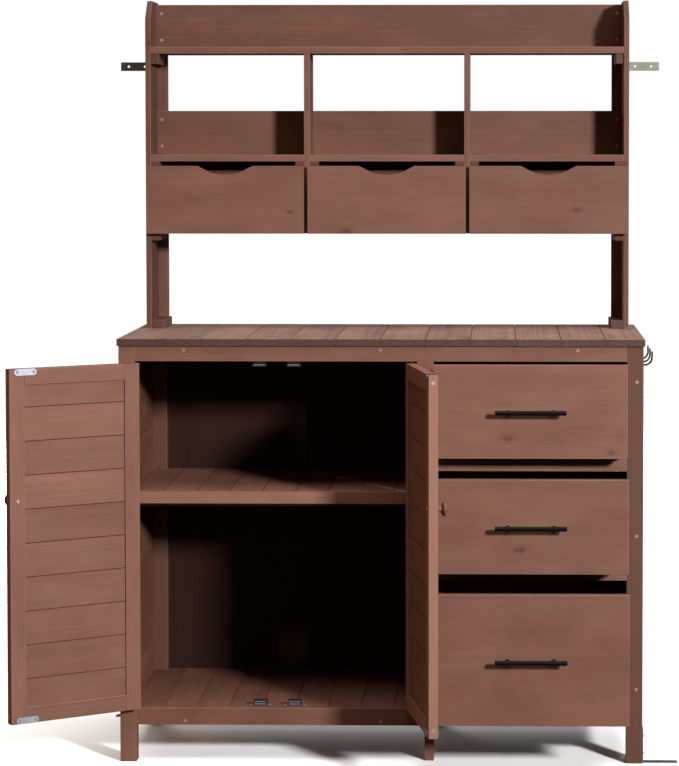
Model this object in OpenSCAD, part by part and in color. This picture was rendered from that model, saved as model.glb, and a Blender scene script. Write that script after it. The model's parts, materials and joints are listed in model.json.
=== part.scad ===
// Wooden potting bench: a cabinet with two doors and three drawers under a boarded table top,
// and a hutch with two shelves and three small drawers standing on the rear of the table.
// Millimetres. +Z is up, the front faces -Y, and the origin is on the floor at the centre of
// the cabinet's footprint.

/* [Cabinet] */
// Width of the cabinet over its legs
cabinet_w = 1120; // [930:10:1400]
// Depth of the cabinet over its legs
cabinet_d = 470; // [390:5:600]
// Height of the table top's upper face
table_h = 910; // [750:5:1100]
// Side of a square leg
leg = 35; // [29:1:42]
// Thickness of the front rails, the stile, the door frames and the drawer fronts
frame_t = 20; // [16:1:24]
// Height of the rails under the table top
top_rail_h = 33; // [27:1:40]
// Height of the rails above the floor gap
low_rail_h = 37; // [30:1:45]
// Gap between the floor and the low rails
foot_h = 80; // [40:5:120]
// Width of the stile between the doors and the drawers
stile_w = 35; // [29:1:42]
// Width of a partition post
post_w = 20; // [16:1:24]

/* [Table top] */
// Thickness of the table boards
table_t = 15; // [12:1:20]
// Width of a full table board
table_board_w = 96; // [70:1:120]
// Overhang of the table top in front
table_front = 6; // [3:1:12]
// Overhang of the table top at each side
table_side = 3; // [2:1:10]
// Overhang of the table top at the rear
table_back = 4; // [2:1:10]
// Distance from the cabinet's middle to the outer joists and rail screws
joist_reach = 420; // [350:5:440]
// Distance from the partition to the middle joist and its rail screws
joist_in = 81; // [60:1:110]

/* [Boards] */
// Thickness of the side, floor, shelf and partition boards
board_t = 12; // [10:1:15]
// Width of a full side, floor, shelf or door board
board_w = 71; // [59:1:85]
// Open seam between two boards
seam = 0.6; // [0.3:0.1:1.5]
// Chamfer on each long edge of a board
board_chamfer = 0.8; // [0.3:0.1:1.5]
// Reach of a board's tongue
tongue = 4; // [3:0.5:5]
// How far the side boards lie behind the legs' outer faces
board_inset = 8; // [2:1:12]
// Thickness of the back sheets
back_t = 6; // [4:1:9]
// Width of the left back sheet
back_sheet_w = 454; // [380:1:545]
// Width of the batten behind the joint of the two back sheets
back_batten_w = 44; // [36:1:54]
// Section of the ledgers and small cleats
cleat = 20; // [16:1:24]
// Width of the corner battens at the back
corner_batten_w = 32; // [26:1:40]
// Depth of the corner battens at the back
corner_batten_d = 24; // [20:1:29]
// Height of the inner shelf's upper face
shelf_h = 580; // [480:5:640]
// Height of the inner shelf's front rail
shelf_rail_h = 26; // [22:1:32]
// Thickness of the inner shelf's front rail
shelf_rail_t = 15; // [12:1:18]
// How far the inner shelf's front rail lies behind the front rails
shelf_rail_back = 2; // [0.5:0.5:5]

/* [Doors] */
// Height of the gap above and below a door
door_gap = 2; // [1:0.5:3]
// Gap between a door and its jamb, which holds the two hinge leaves
hinge_gap = 3; // [2.8:0.1:4]
// Gap between the two doors
meet_gap = 2; // [1:0.5:4]
// Width of a door's stiles and rails
door_frame_w = 34; // [28:1:41]
// Thickness of a door's boards
door_board_t = 10; // [8:1:12]
// How far the boards lie behind the frame's inner face
door_board_inset = 4; // [2:0.5:6]
// Depth of the groove that holds the boards
door_groove = 6; // [4:0.5:8]
// Width of a door's uppermost board
door_first_board = 46; // [38:1:55]
// Opening of the left door at rest, degrees
left_door_open = 146; // [0:1:180]
// Opening of the right door at rest, degrees
right_door_open = 101; // [0:1:101]
// Height of the door knobs
knob_h = 585; // [480:5:700]
// Distance from a door's free edge to its knob
knob_in = 17; // [14:1:20]
// Radius of a knob's head
knob_r = 15; // [12:0.5:17]
// How far a knob stands out
knob_out = 22; // [18:1:28]

/* [Hinges and catches] */
// Length of a hinge
hinge_l = 60; // [50:1:72]
// Thickness of a hinge leaf
leaf_t = 1.2; // [1:0.1:1.3]
// Width of a hinge leaf on the wood
leaf_w = 16; // [12:1:18]
// Radius of a hinge knuckle
knuckle_r = 3.2; // [2.8:0.1:4]
// Radius of a hinge pin
pin_r = 1.5; // [1.2:0.1:1.8]
// Radial clearance of a pin in a door's knuckle
pin_clear = 0.05; // [0.02:0.01:0.1]
// Distance from a door's top or bottom edge to its hinge
hinge_in = 90; // [60:5:120]
// Distance from the meeting line to a catch
catch_reach = 37; // [34:1:45]
// Length of a catch's case
catch_l = 30; // [25:1:36]
// Length of a catch's base plate
catch_base_l = 52; // [46:1:60]
// Height and depth of a catch's case
catch_s = 13; // [11:1:15]

/* [Drawers] */
// Width of the drawer opening
drawer_open_w = 412; // [340:1:500]
// Height of the openings of the two upper drawers
drawer_open_h = 201; // [165:1:245]
// Height of the rails between the drawers
drawer_rail_h = 33; // [27:1:40]
// Gap round a drawer front in its opening
drawer_gap = 1.5; // [1:0.5:3]
// Gap between a drawer box and the posts beside it
drawer_box_gap = 6; // [5:0.5:8]
// Thickness of a drawer box's sides
drawer_side_t = 12; // [10:1:15]
// Thickness of a drawer's bottom sheet
drawer_bottom_t = 5; // [4:1:6]
// How far the box sides end below the top of the drawer front
drawer_side_drop = 30; // [25:1:40]
// Free depth behind a closed drawer box
drawer_rear_gap = 19; // [15:1:25]
// Height of the runners under the drawers
runner_h = 18; // [15:1:22]
// How far the upper drawer is pulled out at rest
upper_drawer_pull = 66; // [0:1:205]
// How far the middle drawer is pulled out at rest
middle_drawer_pull = 133; // [0:1:205]
// How far the lower drawer is pulled out at rest
lower_drawer_pull = 175; // [0:1:205]
// Length of a drawer handle's bar
handle_l = 150; // [125:1:180]
// Distance between a handle's posts
handle_pitch = 96; // [80:1:115]
// Radius of a handle's bar
handle_r = 5; // [4:0.5:6]
// Distance from the drawer front to the bar's centre line
handle_out = 27; // [22:1:33]

/* [Hutch] */
// Width of the hutch over its side boards
hutch_w = 1087; // [905:1:1300]
// Depth of the hutch
hutch_d = 145; // [120:1:175]
// Height of the hutch above the table
hutch_h = 738; // [735:1:890]
// Thickness of the side boards
hutch_side_t = 12; // [10:1:15]
// Cut-off corner at the top of the side boards
hutch_corner = 40; // [32:1:48]
// Thickness of the shelves
hutch_shelf_t = 15; // [12:1:18]
// Height of the upper shelf's top face above the table
upper_shelf_h = 633; // [600:1:633]
// Height of the middle shelf's top face above the table
middle_shelf_h = 391; // [350:1:400]
// Height of the back boards
back_board_h = 100; // [83:1:105]
// Thickness of the back boards
back_board_t = 12; // [10:1:15]
// Width of the rear posts
hutch_post_w = 22; // [18:1:27]
// Depth of the rear posts
hutch_post_d = 20; // [16:1:24]
// Thickness of the dividers
divider_t = 13; // [11:1:16]
// Distance from the middle of the hutch to a divider
divider_reach = 180; // [150:1:216]
// Width of the foot cleats on the table
foot_cleat_w = 28; // [23:1:34]
// Height of the foot cleats on the table
foot_cleat_h = 18; // [15:1:22]

/* [Hutch drawers] */
// Height of a hutch drawer's front
small_front_h = 152; // [125:1:160]
// Gap between the fronts and the middle shelf
small_front_drop = 10; // [8:1:14]
// Thickness of a hutch drawer's front
small_front_t = 12; // [10:1:15]
// Gap between neighbouring fronts
small_front_gap = 8; // [4:1:12]
// How far the outer fronts' edges lie inside the hutch's outer faces
small_front_in = 3; // [0:1:8]
// Width of the finger scoop
scoop_w = 125; // [104:1:150]
// Depth of the finger scoop
scoop_d = 20; // [16:1:24]
// Radius of the finger scoop's arc
scoop_r = 98; // [80:1:120]
// Thickness of a hutch drawer box's sides
small_side_t = 9; // [8:1:11]
// Gap between a hutch drawer's box and the boards beside it
small_box_gap = 3; // [2:0.5:4]
// Height of the runners on the dividers
small_runner_h = 12; // [10:1:15]
// Height of the runners on the hutch's sides
side_runner_h = 28; // [24:1:34]
// Gap between a closed hutch drawer's box and the back board
small_rear_gap = 5; // [3:0.5:8]
// How far the left hutch drawer is pulled out at rest
left_small_pull = 10; // [0:1:80]
// How far the middle hutch drawer is pulled out at rest
middle_small_pull = 12; // [0:1:80]
// How far the right hutch drawer is pulled out at rest
right_small_pull = 9; // [0:1:80]

/* [Fittings] */
// Length of each leg of an angle bracket
bracket_l = 75; // [62:1:90]
// Width of an angle bracket
bracket_w = 20; // [16:1:24]
// Thickness of an angle bracket
bracket_t = 2; // [1.5:0.5:3]
// Radius of the holes in an angle bracket
bracket_hole_r = 2.75; // [2.5:0.05:3.3]
// Radius of the screws in an angle bracket
bracket_screw_r = 2.25; // [1.8:0.05:2.4]
// Distance from a bracket leg's tip to its outer hole
bracket_hole_in = 18; // [15:1:22]
// Distance between the two holes of a bracket leg
bracket_hole_pitch = 37; // [30:1:44]
// Height of the wall brackets above the table
wall_bracket_h = 593; // [560:1:600]
// Radius of a hook's wire
hook_r = 2; // [1.5:0.5:2.5]
// Bend radius of a hook
hook_bend = 16; // [12:1:20]
// Distance from the table boards down to the hooks' roots
hook_drop = 47; // [45:1:150]
// Distance between hooks
hook_pitch = 80; // [60:1:95]
// Distance from the cabinet's front to the first hook
hook_in = 95; // [80:1:115]
// Radius of a wood screw's head
screw_head_r = 3.5; // [3:0.5:4]
// Radius of a wood screw's shank
screw_r = 1.75; // [1.5:0.25:2]

/* [Hidden] */
$fn = 64;

wood = "#8b6455";
dark_wood = "#7a5548";
steel = "#a9a9a6";
zinc = "#a79b62";
black = "#1d1c1c";

// A small overlap that lets a cut run clear of a face
over = 1;
// Gap that keeps sliding wooden faces apart
slide_gap = 0.5;
// Gap of a joint between two pieces of one part
fit_gap = 0.1;

front_y = -cabinet_d / 2;
back_y = cabinet_d / 2;
left_x = -cabinet_w / 2;
right_x = cabinet_w / 2;
frame_y = front_y + frame_t;
leg_y = front_y + leg;
rear_leg_y = back_y - leg;
table_low = table_h - table_t;
open_low = foot_h + low_rail_h;
open_top = table_low - top_rail_h;

// Openings of the cabinet's front, from left to right
door_x0 = left_x + leg;
drawer_x1 = right_x - leg;
drawer_x0 = drawer_x1 - drawer_open_w;
stile_x0 = drawer_x0 - stile_w;
door_x1 = stile_x0;

// The inside of the cabinet
wall_x0 = left_x + board_inset + board_t;
wall_x1 = right_x - board_inset - board_t;
side_rail_t = board_inset + board_t;
back_sheet_y = rear_leg_y - back_t;
partition_x1 = drawer_x0 - post_w;
partition_x0 = partition_x1 - board_t;
floor_low = open_low - board_t;
shelf_y = frame_y + shelf_rail_back + shelf_rail_t;

// The table top
table_x0 = left_x - table_side;
table_w = cabinet_w + 2 * table_side;
table_y0 = front_y - table_front;
table_y1 = back_y + table_back;
table_d = table_y1 - table_y0;
joists_x = [-joist_reach, partition_x0 - joist_in, joist_reach];

// The doors, closed
door_w = (door_x1 - door_x0 - 2 * hinge_gap - meet_gap) / 2;
door_low = open_low + door_gap;
door_h = open_top - open_low - 2 * door_gap;
door_meet_x = (door_x0 + door_x1) / 2;
door_board_h = door_h - 2 * door_frame_w + 2 * door_groove;
door_board_y = frame_y - door_board_inset - door_board_t;
knuckle_clear = 0.3;
pivot_y = front_y - knuckle_r - knuckle_clear;
pivot_in = hinge_gap / 2;
hinges_z = [door_low + hinge_in, door_low + door_h - hinge_in - hinge_l];
knuckle_gap = 0.4;
knuckle_l = hinge_l / 3;
strike_l = 50;
strike_w = 14;
strike_t = 1.2;
strike_in = 11;

// The drawers, from the top one down: the low and high edge of each opening
drawers_top = [for (i = [0:2]) open_top - i * (drawer_open_h + drawer_rail_h)];
drawers_low = [drawers_top[0] - drawer_open_h, drawers_top[1] - drawer_open_h, open_low];
drawer_box_l = back_sheet_y - frame_y - drawer_rear_gap;
drawer_box_w = drawer_open_w - 2 * drawer_box_gap;
bottom_groove = 4;
bottom_up = 8;

// The hutch
hutch_x0 = -hutch_w / 2;
hutch_x1 = hutch_w / 2;
hutch_in_x = hutch_x1 - hutch_side_t;
hutch_y1 = table_y1;
hutch_y0 = hutch_y1 - hutch_d;
back_board_y = hutch_y1 - hutch_post_d - back_board_t;
hutch_shelf_d = back_board_y + back_board_t - hutch_y0;
upper_shelf_z = table_h + upper_shelf_h;
middle_shelf_z = table_h + middle_shelf_h;
small_top = middle_shelf_z - hutch_shelf_t - small_front_drop;
small_low = small_top - small_front_h;
small_runner_z = small_low + small_runner_h;
small_pitch = (hutch_w - 2 * small_front_in + small_front_gap) / 3;
small_front_w = small_pitch - small_front_gap;
// Inner faces of the three compartments, and their widths
compartments_x0 = [
    -hutch_in_x,
    -divider_reach + divider_t / 2,
    divider_reach + divider_t / 2
];
compartments_x1 = [
    -divider_reach - divider_t / 2,
    divider_reach - divider_t / 2,
    hutch_in_x
];
small_box_l = back_board_y - hutch_y0 - small_rear_gap;
small_box_drop = 11;
drawer_pull = [upper_drawer_pull, middle_drawer_pull, lower_drawer_pull];
small_pull = [left_small_pull, middle_small_pull, right_small_pull];

// Screws through the front rails and through the legs into the side boards
rail_screw_in = 9;
rail_screw_l = 45;
leg_screw_x = right_x - board_inset - board_t / 2;
leg_screw_in = 43;
leg_screws_z = [open_top - leg_screw_in, (open_low + open_top) / 2, open_low + leg_screw_in];
leg_screw_bite = 20;
leg_screw_l = leg + leg_screw_bite;
back_screw_in = 20;
back_screw_l = 28;
bracket_screw_l = 9;
bracket_head_r = 4.5;
bracket_head_h = 1.5;
catch_screw_r = 1.4;
catch_head_r = 2.8;
catch_head_h = 1;
magnet_t = 2;
pan_head_r = 4;
pan_head_h = 2;
machine_r = 2;

// ---------- Shared shapes ----------

// A box from its low corner and its size
module block(low, size) {
    translate(low) cube(size);
}

// Seams of a run of boards: the first board, then full boards, then the rest
function board_edges(total, first, full) =
    concat([0], [for (x = first; x < total - full / 4; x = x + full) x], [total]);

// Width of the first board where the two outer boards are trimmed alike
function even_first(total, full) = (total - full * (floor(total / full) - 1)) / 2;

// Cross-section of a board: groove on the left edge, tongue on the right
function board_outline(w, t, has_groove, has_tongue) =
    let (
        c = board_chamfer,
        right = has_tongue ? w - seam : w,
        low = t / 3,
        high = 2 * t / 3,
        slack = 0.2
    )
    concat(
        [[c, 0], [right - c, 0], [right, c]],
        has_tongue
            ? [[right, low + slack], [right + tongue, low + slack],
               [right + tongue, high - slack], [right, high - slack]]
            : [],
        [[right, t - c], [right - c, t], [c, t], [0, t - c]],
        has_groove ? [[0, high], [tongue, high], [tongue, low], [0, low]] : [],
        [[0, c]]
    );

// Boards side by side along X, running along Y, with their thickness along Z
module boards(edges, run, t) {
    last = len(edges) - 2;
    for (i = [0:last]) {
        translate([edges[i], run, 0])
            rotate([90, 0, 0])
                linear_extrude(run)
                    polygon(board_outline(edges[i + 1] - edges[i], t, i > 0, i < last));
    }
}

// Boards stacked along Z that run along Y, their thickness along X
module wall_boards(x, y, z, edges, run, t) {
    translate([x + t, y, z]) rotate([0, -90, 0]) boards(edges, run, t);
}

// A countersunk wood screw along +Y, its head flush with the XZ plane
module screw_body(l) {
    head = screw_head_r - screw_r;
    rotate([-90, 0, 0]) {
        cylinder(h = head, r1 = screw_head_r, r2 = screw_r);
        cylinder(h = l, r = screw_r);
    }
}

// The same screw with a cross recess in its head
module screw(l) {
    slot_w = 0.9;
    slot_d = 1;
    difference() {
        screw_body(l);
        for (a = [0, 90]) {
            rotate([0, a, 0])
                block([-screw_head_r * 0.6, -over, -slot_w / 2],
                      [screw_head_r * 1.2, over + slot_d, slot_w]);
        }
    }
}

// ---------- Screws of the fixed frame ----------

// Places where a screw enters the front rails
rail_screws = [
    for (x = joists_x) for (z = [table_low - rail_screw_in, foot_h + rail_screw_in]) [x, front_y, z]
];
// Places where a screw enters the front legs
leg_screws = [for (s = [-1, 1]) for (z = leg_screws_z) [s * leg_screw_x, front_y, z]];
// Places where a screw enters the hutch's back boards
back_screws = [
    for (s = [-1, 1])
        for (low = [upper_shelf_z, middle_shelf_z])
            for (up = [back_screw_in, back_board_h - back_screw_in])
                [s * (hutch_in_x - hutch_post_w / 2), back_board_y, low + up]
];

module rail_screw_spaces() {
    for (p = rail_screws) translate(p) screw_body(rail_screw_l);
}

module leg_screw_spaces() {
    for (p = leg_screws) translate(p) screw_body(leg_screw_l);
}

module back_screw_spaces() {
    for (p = back_screws) translate(p) screw_body(back_screw_l);
}

module wood_screws() {
    color(steel) {
        for (p = rail_screws) translate(p) screw(rail_screw_l);
        for (p = leg_screws) translate(p) screw(leg_screw_l);
        for (p = back_screws) translate(p) screw(back_screw_l);
    }
}

// ---------- Cabinet frame ----------

module leg_block(x, y) {
    block([x, y, 0], [leg, leg, table_low]);
}

module front_left_leg() {
    color(wood) difference() {
        leg_block(left_x, front_y);
        leg_screw_spaces();
    }
}

module front_right_leg() {
    color(wood) difference() {
        leg_block(drawer_x1, front_y);
        leg_screw_spaces();
        at_floor_bracket(1, front_y + leg / 2) bracket_shanks();
    }
}

module rear_left_leg() {
    color(wood) difference() {
        leg_block(left_x, rear_leg_y);
        at_floor_bracket(-1, rear_leg_y + leg / 2) bracket_shanks();
    }
}

module rear_right_leg() {
    color(wood) leg_block(drawer_x1, rear_leg_y);
}

module front_stile() {
    color(wood) block([stile_x0, front_y, open_low], [stile_w, frame_t, open_top - open_low]);
}

module partition_posts() {
    color(wood) {
        for (y = [frame_y, back_sheet_y - leg]) {
            block([partition_x1, y, 0], [post_w, leg, table_low]);
        }
    }
}

module front_rail(z, h) {
    difference() {
        block([door_x0, front_y, z], [drawer_x1 - door_x0, frame_t, h]);
        rail_screw_spaces();
    }
}

module top_front_rail() {
    color(wood) front_rail(open_top, top_rail_h);
}

module bottom_front_rail() {
    color(wood) front_rail(foot_h, low_rail_h);
}

module drawer_rails() {
    color(wood) {
        for (i = [0, 1]) {
            block([drawer_x0, front_y, drawers_low[i] - drawer_rail_h],
                  [drawer_open_w, frame_t, drawer_rail_h]);
        }
    }
}

// The two rear rails, and the upright batten behind the joint of the back sheets
module rear_rails() {
    batten_x = wall_x0 + back_sheet_w - seam / 2 - back_batten_w / 2;
    color(wood) {
        block([door_x0, rear_leg_y, open_top], [drawer_x1 - door_x0, frame_t, top_rail_h]);
        block([door_x0, rear_leg_y, foot_h], [drawer_x1 - door_x0, frame_t, low_rail_h]);
        block([batten_x, rear_leg_y, open_low + fit_gap],
              [back_batten_w, board_t, open_top - open_low - 2 * fit_gap]);
    }
}

module side_rails() {
    color(wood) {
        for (x = [left_x, wall_x1]) {
            block([x, leg_y, open_top], [side_rail_t, rear_leg_y - leg_y, top_rail_h]);
            block([x, leg_y, foot_h], [side_rail_t, rear_leg_y - leg_y, low_rail_h]);
        }
    }
}

module side_planks() {
    total = open_top - open_low;
    edges = board_edges(total, board_w, board_w);
    color(wood) difference() {
        union() {
            for (x = [left_x + board_inset, wall_x1]) {
                wall_boards(x, leg_y, open_low, edges, rear_leg_y - leg_y, board_t);
            }
        }
        leg_screw_spaces();
        hook_spaces();
    }
}

module partition_planks() {
    total = table_low - foot_h;
    edges = board_edges(total, board_w, board_w);
    color(wood) wall_boards(partition_x0, frame_y, foot_h, edges, back_sheet_y - frame_y, board_t);
}

module back_panels() {
    z = foot_h;
    h = table_low - foot_h;
    rest = wall_x1 - wall_x0 - back_sheet_w;
    color(dark_wood) {
        block([wall_x0, back_sheet_y, z], [back_sheet_w - seam, back_t, h]);
        block([wall_x0 + back_sheet_w, back_sheet_y, z], [rest, back_t, h]);
    }
}

// Room that the two corner battens take
module corner_battens() {
    h = table_low - open_low;
    for (x = [wall_x0, partition_x0 - corner_batten_w]) {
        block([x, back_sheet_y - corner_batten_d, open_low],
              [corner_batten_w, corner_batten_d, h]);
    }
}

module inner_cleats() {
    span = partition_x0 - door_x0;
    shelf_low = shelf_h - board_t - cleat;
    color(wood) {
        corner_battens();
        difference() {
            union() {
                block([door_x0, frame_y, floor_low - cleat], [span, cleat, cleat]);
                block([door_x0, back_sheet_y - cleat, floor_low - cleat], [span, cleat, cleat]);
            }
            rail_screw_spaces();
        }
        block([wall_x0, shelf_y, shelf_low], [partition_x0 - wall_x0, cleat, cleat]);
        block([wall_x0 + corner_batten_w + fit_gap, back_sheet_y - cleat, shelf_low],
              [partition_x0 - wall_x0 - 2 * corner_batten_w - 2 * fit_gap, cleat, cleat]);
    }
}

module floor_boards() {
    span = partition_x0 - wall_x0;
    run = back_sheet_y - frame_y;
    color(wood) difference() {
        translate([wall_x0, frame_y, floor_low])
            boards(board_edges(span, board_w, board_w), run, board_t);
        leg_block(left_x, front_y);
    }
}

module shelf_boards() {
    span = partition_x0 - wall_x0;
    run = back_sheet_y - shelf_y;
    color(wood) difference() {
        translate([wall_x0, shelf_y, shelf_h - board_t])
            boards(board_edges(span, board_w, board_w), run, board_t);
        corner_battens();
        leg_block(left_x, front_y);
    }
}

module shelf_front_rail() {
    color(wood) block([door_x0, shelf_y - shelf_rail_t, shelf_h - shelf_rail_h],
                      [partition_x0 - door_x0, shelf_rail_t, shelf_rail_h]);
}

module drawer_runners() {
    color(wood) {
        for (z = drawers_low) {
            block([drawer_x0, frame_y, z - runner_h],
                  [cleat, back_sheet_y - frame_y, runner_h]);
            block([drawer_x1 - cleat, leg_y, z - runner_h],
                  [wall_x1 - drawer_x1 + cleat, back_sheet_y - leg_y, runner_h]);
        }
    }
}

// Joists that carry the table boards, and the block that the upper catches hang from
module table_joists() {
    block_w = 2 * catch_reach + catch_base_l + cleat;
    color(wood) {
        difference() {
            for (x = joists_x) {
                block([x - cleat / 2, frame_y, open_top],
                      [cleat, back_sheet_y - frame_y, top_rail_h]);
            }
            rail_screw_spaces();
        }
        block([door_meet_x - block_w / 2, frame_y, open_top], [block_w, cleat, top_rail_h]);
    }
}

module table_boards() {
    edges = board_edges(table_w, even_first(table_w, table_board_w), table_board_w);
    color(wood) translate([table_x0, table_y0, table_low]) boards(edges, table_d, table_t);
}

// ---------- Hutch ----------

module hutch_side(x) {
    d = hutch_d;
    c = hutch_corner;
    translate([x, hutch_y0, table_h])
        rotate([90, 0, 90])
            linear_extrude(hutch_side_t)
                polygon([[0, 0], [d, 0], [d, hutch_h], [c, hutch_h], [0, hutch_h - c]]);
}

module hutch_sides() {
    color(wood) difference() {
        union() {
            hutch_side(hutch_x0);
            hutch_side(hutch_in_x);
        }
        for (s = [-1, 1]) at_wall_bracket(s) bracket_shanks();
    }
}

module hutch_posts() {
    low = table_h + foot_cleat_h;
    high = upper_shelf_z + back_board_h;
    color(wood) difference() {
        for (x = [-hutch_in_x, hutch_in_x - hutch_post_w]) {
            block([x, hutch_y1 - hutch_post_d, low], [hutch_post_w, hutch_post_d, high - low]);
        }
        back_screw_spaces();
    }
}

module hutch_back_boards() {
    drawer_back_h = middle_shelf_z - hutch_shelf_t - small_low;
    color(wood) {
        difference() {
            for (z = [upper_shelf_z, middle_shelf_z]) {
                block([-hutch_in_x, back_board_y, z],
                      [2 * hutch_in_x, back_board_t, back_board_h]);
            }
            back_screw_spaces();
        }
        block([-hutch_in_x, back_board_y, small_low],
              [2 * hutch_in_x, back_board_t, drawer_back_h]);
    }
}

module hutch_top_shelf() {
    color(wood) block([-hutch_in_x, hutch_y0, upper_shelf_z - hutch_shelf_t],
                      [2 * hutch_in_x, hutch_shelf_d, hutch_shelf_t]);
}

module hutch_middle_shelf() {
    color(wood) {
        for (i = [0:2]) {
            block([compartments_x0[i], hutch_y0, middle_shelf_z - hutch_shelf_t],
                  [compartments_x1[i] - compartments_x0[i], back_board_y - hutch_y0,
                   hutch_shelf_t]);
        }
    }
}

module hutch_dividers() {
    color(wood) {
        for (x = [-divider_reach, divider_reach]) {
            block([x - divider_t / 2, hutch_y0, small_low],
                  [divider_t, back_board_y - hutch_y0, upper_shelf_z - hutch_shelf_t - small_low]);
        }
    }
}

// Small cleats: under the upper shelf, on the table, and beside and over the hutch drawers
module hutch_cleats() {
    depth = back_board_y - hutch_y0;
    top_h = 23;
    top_w = 18;
    top_back = 4;
    foot_back = 2;
    color(wood) {
        for (s = [-1, 1]) {
            edge = s < 0 ? -hutch_in_x : hutch_in_x - top_w;
            block([edge, hutch_y0 + top_back, upper_shelf_z - hutch_shelf_t - top_h],
                  [top_w, hutch_shelf_d - top_back, top_h]);
            foot = s < 0 ? -hutch_in_x : hutch_in_x - foot_cleat_w;
            block([foot, hutch_y0 + foot_back, table_h],
                  [foot_cleat_w, hutch_d - foot_back, foot_cleat_h]);
        }
        for (i = [0:2]) {
            for (x = [compartments_x0[i], compartments_x1[i] - cleat]) {
                outer = abs(x + cleat / 2) > hutch_in_x - cleat;
                h = outer ? side_runner_h : small_runner_h;
                block([x, hutch_y0, small_runner_z - h], [cleat, depth, h]);
                block([x, hutch_y0, small_top], [cleat, depth, small_front_drop]);
            }
        }
    }
}

// ---------- Fittings ----------

// An angle bracket: one leg along +X, the other along +Z, the width along Y
module bracket() {
    difference() {
        union() {
            block([0, 0, 0], [bracket_l, bracket_w, bracket_t]);
            block([0, 0, 0], [bracket_t, bracket_w, bracket_l]);
        }
        bracket_holes(2 * bracket_t);
    }
}

// The four holes of a bracket, as pins of the given length
module bracket_holes(l) {
    for (d = [0, bracket_hole_pitch]) {
        at = bracket_l - bracket_hole_in - d;
        translate([at, bracket_w / 2, bracket_t / 2])
            cylinder(h = l, r = bracket_hole_r, center = true);
        translate([bracket_t / 2, bracket_w / 2, at])
            rotate([0, 90, 0])
                cylinder(h = l, r = bracket_hole_r, center = true);
    }
}

// The shanks of the screws that hold the +Z leg of a bracket, driven along -X
module bracket_shanks() {
    for (d = [0, bracket_hole_pitch]) {
        translate([-bracket_screw_l, bracket_w / 2, bracket_l - bracket_hole_in - d])
            rotate([0, 90, 0])
                cylinder(h = bracket_screw_l + bracket_t + fit_gap, r = bracket_screw_r);
    }
}

// The same screws with their heads
module bracket_screws() {
    bracket_shanks();
    for (d = [0, bracket_hole_pitch]) {
        translate([bracket_t + fit_gap, bracket_w / 2, bracket_l - bracket_hole_in - d])
            rotate([0, 90, 0])
                cylinder(h = bracket_head_h, r1 = bracket_head_r, r2 = bracket_screw_r);
    }
}

// Puts a bracket on a hutch side: one leg on the side board, the other out along the wall
module at_wall_bracket(s) {
    z = table_h + wall_bracket_h;
    translate([s * hutch_x1, hutch_y1, z - bracket_w / 2])
        mirror([s < 0 ? 1 : 0, 0, 0])
            rotate([90, 0, 0])
                children();
}

// Puts a bracket at the foot of a leg, its free leg on the floor
module at_floor_bracket(s, y) {
    translate([s * right_x, y - bracket_w / 2, 0])
        mirror([s < 0 ? 1 : 0, 0, 0])
            children();
}

module wall_brackets() {
    color(zinc) {
        for (s = [-1, 1]) {
            at_wall_bracket(s) {
                bracket();
                bracket_screws();
            }
        }
    }
}

module floor_brackets() {
    color(zinc) {
        at_floor_bracket(-1, rear_leg_y + leg / 2) {
            bracket();
            bracket_screws();
        }
        at_floor_bracket(1, front_y + leg / 2) {
            bracket();
            bracket_screws();
        }
    }
}

// Wire hooks on the right side, each a shank, a quarter bend and an upright tip
hook_root_x = right_x - board_inset;
hook_root_z = table_low - hook_drop;
hook_screw_l = 9;
hook_stem = 15;
hook_tip = 12;
hook_collar_r = 6;
hook_collar_t = 2;

module at_hooks() {
    for (i = [0:2]) {
        translate([hook_root_x, front_y + hook_in + i * hook_pitch, hook_root_z]) children();
    }
}

module hook_spaces() {
    at_hooks()
        translate([-hook_screw_l, 0, 0])
            rotate([0, 90, 0])
                cylinder(h = hook_screw_l, r = hook_r);
}

module side_hooks() {
    color(black) at_hooks() {
        translate([-hook_screw_l, 0, 0])
            rotate([0, 90, 0])
                cylinder(h = hook_screw_l + hook_stem, r = hook_r);
        rotate([0, 90, 0]) cylinder(h = hook_collar_t, r = hook_collar_r);
        translate([hook_stem, 0, hook_bend])
            rotate([90, 0, 0])
                rotate([0, 0, -90])
                    rotate_extrude(angle = 90)
                        translate([hook_bend, 0, 0])
                            circle(r = hook_r);
        translate([hook_stem + hook_bend, 0, hook_bend]) {
            cylinder(h = hook_tip, r = hook_r);
            translate([0, 0, hook_tip]) sphere(r = hook_r);
        }
    }
}

// A magnetic catch on its base plate, the magnets facing -Y and the base at z = 0
module catch() {
    base_t = 1.5;
    screw_at = (catch_base_l + catch_l) / 4;
    face = 3;
    difference() {
        union() {
            block([-catch_base_l / 2, 0, 0], [catch_base_l, catch_s, base_t]);
            block([-catch_l / 2, 0, 0], [catch_l, catch_s, catch_s]);
        }
        block([-catch_l / 2 + face, -over, face],
              [catch_l - 2 * face, face + over, catch_s - 2 * face]);
        for (s = [-1, 1]) {
            translate([s * screw_at, catch_s / 2, -over])
                cylinder(h = base_t + 2 * over, r = catch_screw_r + fit_gap);
        }
    }
    for (z = [face, catch_s - face - magnet_t]) {
        block([-catch_l / 2 + face + fit_gap, 0, z + fit_gap],
              [catch_l - 2 * face - 2 * fit_gap, face - fit_gap, magnet_t - 2 * fit_gap]);
    }
    for (s = [-1, 1]) {
        translate([s * screw_at, catch_s / 2, 0])
            cylinder(h = base_t + fit_gap, r = catch_screw_r);
        translate([s * screw_at, catch_s / 2, base_t + fit_gap])
            cylinder(h = catch_head_h, r1 = catch_head_r, r2 = catch_screw_r);
    }
}

module door_catches() {
    y = frame_y + strike_t + knuckle_clear;
    color(steel) {
        for (s = [-1, 1]) {
            x = door_meet_x + s * catch_reach;
            translate([x, y, open_low]) catch();
            translate([x, y, open_top]) mirror([0, 0, 1]) catch();
        }
    }
}

// ---------- Doors ----------

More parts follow.
